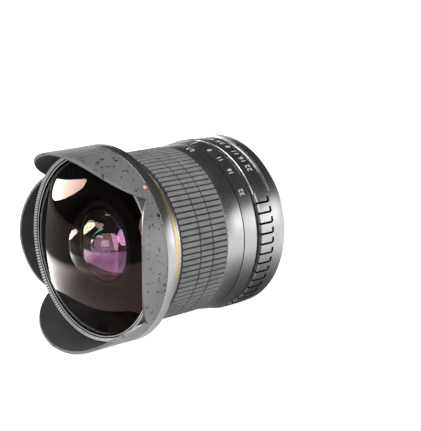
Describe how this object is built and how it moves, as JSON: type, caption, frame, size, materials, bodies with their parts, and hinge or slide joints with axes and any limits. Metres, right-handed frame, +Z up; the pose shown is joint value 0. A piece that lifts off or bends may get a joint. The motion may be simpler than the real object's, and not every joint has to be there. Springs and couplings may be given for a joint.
{
  "type": "fisheye lens",
  "caption": "Full-length fisheye lens with petal hood, ribbed focus ring, click-stop aperture ring, working iris and bayonet mount",
  "frame": {"origin": "centre of the bayonet's seat face, on the optical axis", "axes": "the optical axis is Y, the front glass looks along -Y, +Z is up when the lens is on a camera"},
  "size_m": [0.0756, 0.0934, 0.0756],
  "materials": {
    "satin_black": "black semi-gloss lacquer on aluminium",
    "hood_grey": "satin black lacquer, matte inside",
    "ring_grey": "fine ribbed satin grey",
    "grip_rubber": "ribbed matte rubber",
    "mount_chrome": "satin chrome",
    "bright_screws": "plain steel",
    "colour_ring": "gold anodised line",
    "matte_black": "matte black anodising",
    "coated_glass": "multicoated optical glass",
    "helicoid_brass": "machined brass",
    "blade_steel": "blackened thin steel",
    "spring_steel": "spring steel"
  },
  "bodies": {
    "lens_body": {"bayonet_mount": "mount_chrome", "mount_screws": "bright_screws", "rear_light_shield": "matte_black", "fixed_barrel": "satin_black", "guide_keys": "helicoid_brass", "detent_spring": "spring_steel", "detent_screw": "bright_screws", "front_barrel": "satin_black", "gold_ring": "colour_ring", "front_group_cell": "matte_black", "front_element": "coated_glass", "front_retaining_ring": "ring_grey", "second_element": "coated_glass", "second_element_ring": "matte_black", "third_element": "coated_glass", "fourth_element": "coated_glass", "front_doublet_ring": "matte_black", "iris_housing": "matte_black", "iris_snap_ring": "spring_steel", "iris_screws": "bright_screws"},
    "hood": {"petal_hood": "hood_grey"},
    "focus_ring": {"focus_sleeve": "satin_black", "rubber_grip": "grip_rubber", "helicoid_ring": "helicoid_brass", "focus_drive_key": "helicoid_brass", "drive_key_screw": "bright_screws"},
    "focus_group": {"rear_group_carrier": "matte_black", "fifth_element": "coated_glass", "sixth_element": "coated_glass", "seventh_element": "coated_glass", "eighth_element": "coated_glass", "ninth_element": "coated_glass", "tenth_element": "coated_glass", "front_spacer": "matte_black", "middle_spacer": "matte_black", "rear_spacer": "matte_black", "rear_retaining_ring": "matte_black"},
    "aperture_ring": {"aperture_ring": "satin_black", "aperture_link": "spring_steel"},
    "iris_ring": {"iris_cam_ring": "helicoid_brass", "stop_down_lever": "spring_steel"},
    "blade_1": {"iris_blade_1": "blade_steel"},
    "blade_2": {"iris_blade_2": "blade_steel"},
    "blade_3": {"iris_blade_3": "blade_steel"},
    "blade_4": {"iris_blade_4": "blade_steel"},
    "blade_5": {"iris_blade_5": "blade_steel"},
    "blade_6": {"iris_blade_6": "blade_steel"},
    "click_ball": {"detent_ball": "bright_screws"}
  },
  "joints": [
    {"name": "hood_twist", "type": "hinge", "parent": "lens_body", "child": "hood", "pos_m": [0, -0.068, 0], "axis": [0, -1, 0], "range_deg": [0, 40]},
    {"name": "focus_ring_turn", "type": "hinge", "parent": "lens_body", "child": "focus_ring", "pos_m": [0, -0.045, 0], "axis": [0, -1, 0], "range_deg": [0, 135]},
    {"name": "focus_group_slide", "type": "slide", "parent": "lens_body", "child": "focus_group", "axis": [0, -1, 0], "range_m": [0, 0.0015]},
    {"name": "aperture_ring_turn", "type": "hinge", "parent": "lens_body", "child": "aperture_ring", "pos_m": [0, -0.008, 0], "axis": [0, -1, 0], "range_deg": [-2.5, 38]},
    {"name": "iris_ring_turn", "type": "hinge", "parent": "lens_body", "child": "iris_ring", "pos_m": [0, -0.0432, 0], "axis": [0, -1, 0], "range_deg": [-2.5, 38]},
    {"name": "blade_1_swing", "type": "hinge", "parent": "lens_body", "child": "blade_1", "pos_m": [0.0125, -0.04476, 0], "axis": [0, -1, 0], "range_deg": [-1.43, 21.65]},
    {"name": "blade_2_swing", "type": "hinge", "parent": "lens_body", "child": "blade_2", "pos_m": [0.00625, -0.04457, 0.01083], "axis": [0, -1, 0], "range_deg": [-1.43, 21.65]},
    {"name": "blade_3_swing", "type": "hinge", "parent": "lens_body", "child": "blade_3", "pos_m": [-0.00625, -0.04437, 0.01083], "axis": [0, -1, 0], "range_deg": [-1.43, 21.65]},
    {"name": "blade_4_swing", "type": "hinge", "parent": "lens_body", "child": "blade_4", "pos_m": [-0.0125, -0.04417, 0], "axis": [0, -1, 0], "range_deg": [-1.43, 21.65]},
    {"name": "blade_5_swing", "type": "hinge", "parent": "lens_body", "child": "blade_5", "pos_m": [-0.00625, -0.04396, -0.01083], "axis": [0, -1, 0], "range_deg": [-1.43, 21.65]},
    {"name": "blade_6_swing", "type": "hinge", "parent": "lens_body", "child": "blade_6", "pos_m": [0.00625, -0.04376, -0.01083], "axis": [0, -1, 0], "range_deg": [-1.43, 21.65]},
    {"name": "click_ball_travel", "type": "slide", "parent": "lens_body", "child": "click_ball", "axis": [-0.7431, 0, -0.6691], "range_m": [0, 0.0002], "stiffness_N_per_m": 100, "springref_m": 0.0002}
  ],
  "couplings": [
    {"joint": "focus_group_slide", "follows": "focus_ring_turn", "m_per_rad": 0.00063662},
    {"joint": "iris_ring_turn", "follows": "aperture_ring_turn", "ratio": 1},
    {"joint": "blade_1_swing", "follows": "aperture_ring_turn", "ratio": 0.56973},
    {"joint": "blade_2_swing", "follows": "aperture_ring_turn", "ratio": 0.56973},
    {"joint": "blade_3_swing", "follows": "aperture_ring_turn", "ratio": 0.56973},
    {"joint": "blade_4_swing", "follows": "aperture_ring_turn", "ratio": 0.56973},
    {"joint": "blade_5_swing", "follows": "aperture_ring_turn", "ratio": 0.56973},
    {"joint": "blade_6_swing", "follows": "aperture_ring_turn", "ratio": 0.56973}
  ]
}
